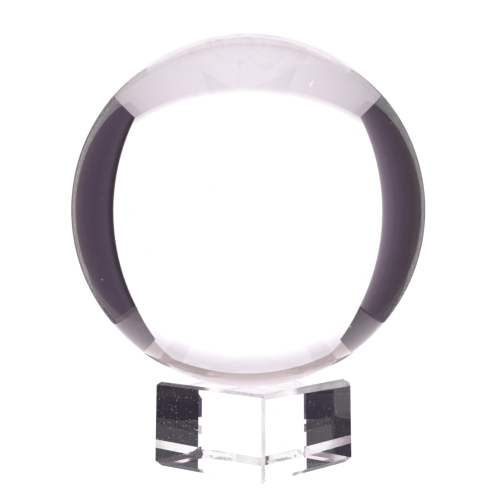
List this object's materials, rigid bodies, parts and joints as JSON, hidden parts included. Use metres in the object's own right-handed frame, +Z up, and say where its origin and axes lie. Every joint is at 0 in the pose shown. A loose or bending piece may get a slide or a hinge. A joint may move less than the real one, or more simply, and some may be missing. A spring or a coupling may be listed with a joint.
{
  "type": "crystal ball",
  "caption": "Solid clear glass ball resting loose in a shallow round seat on a bevelled square glass block.",
  "frame": {"origin": "on the surface that the stand rests on, straight below the middle of the ball", "axes": "+Z up through the middle of the ball; X and Y square to the sides of the stand, whose middle is 0.9 mm along +X and +Y"},
  "size_m": [0.08, 0.08, 0.0981],
  "materials": {
    "ball_glass": "clear optical crown glass, ground and polished all over",
    "stand_glass": "clear optical crown glass, sawn, ground flat and polished, with flat-ground bevels"
  },
  "bodies": {
    "stand": {"square_stand": "stand_glass"},
    "ball": {"crystal_ball": "ball_glass"}
  },
  "joints": [
    {"name": "ball_lift", "type": "slide", "parent": "stand", "child": "ball", "axis": [0, 0, 1], "range_m": [0, 0.02]}
  ]
}
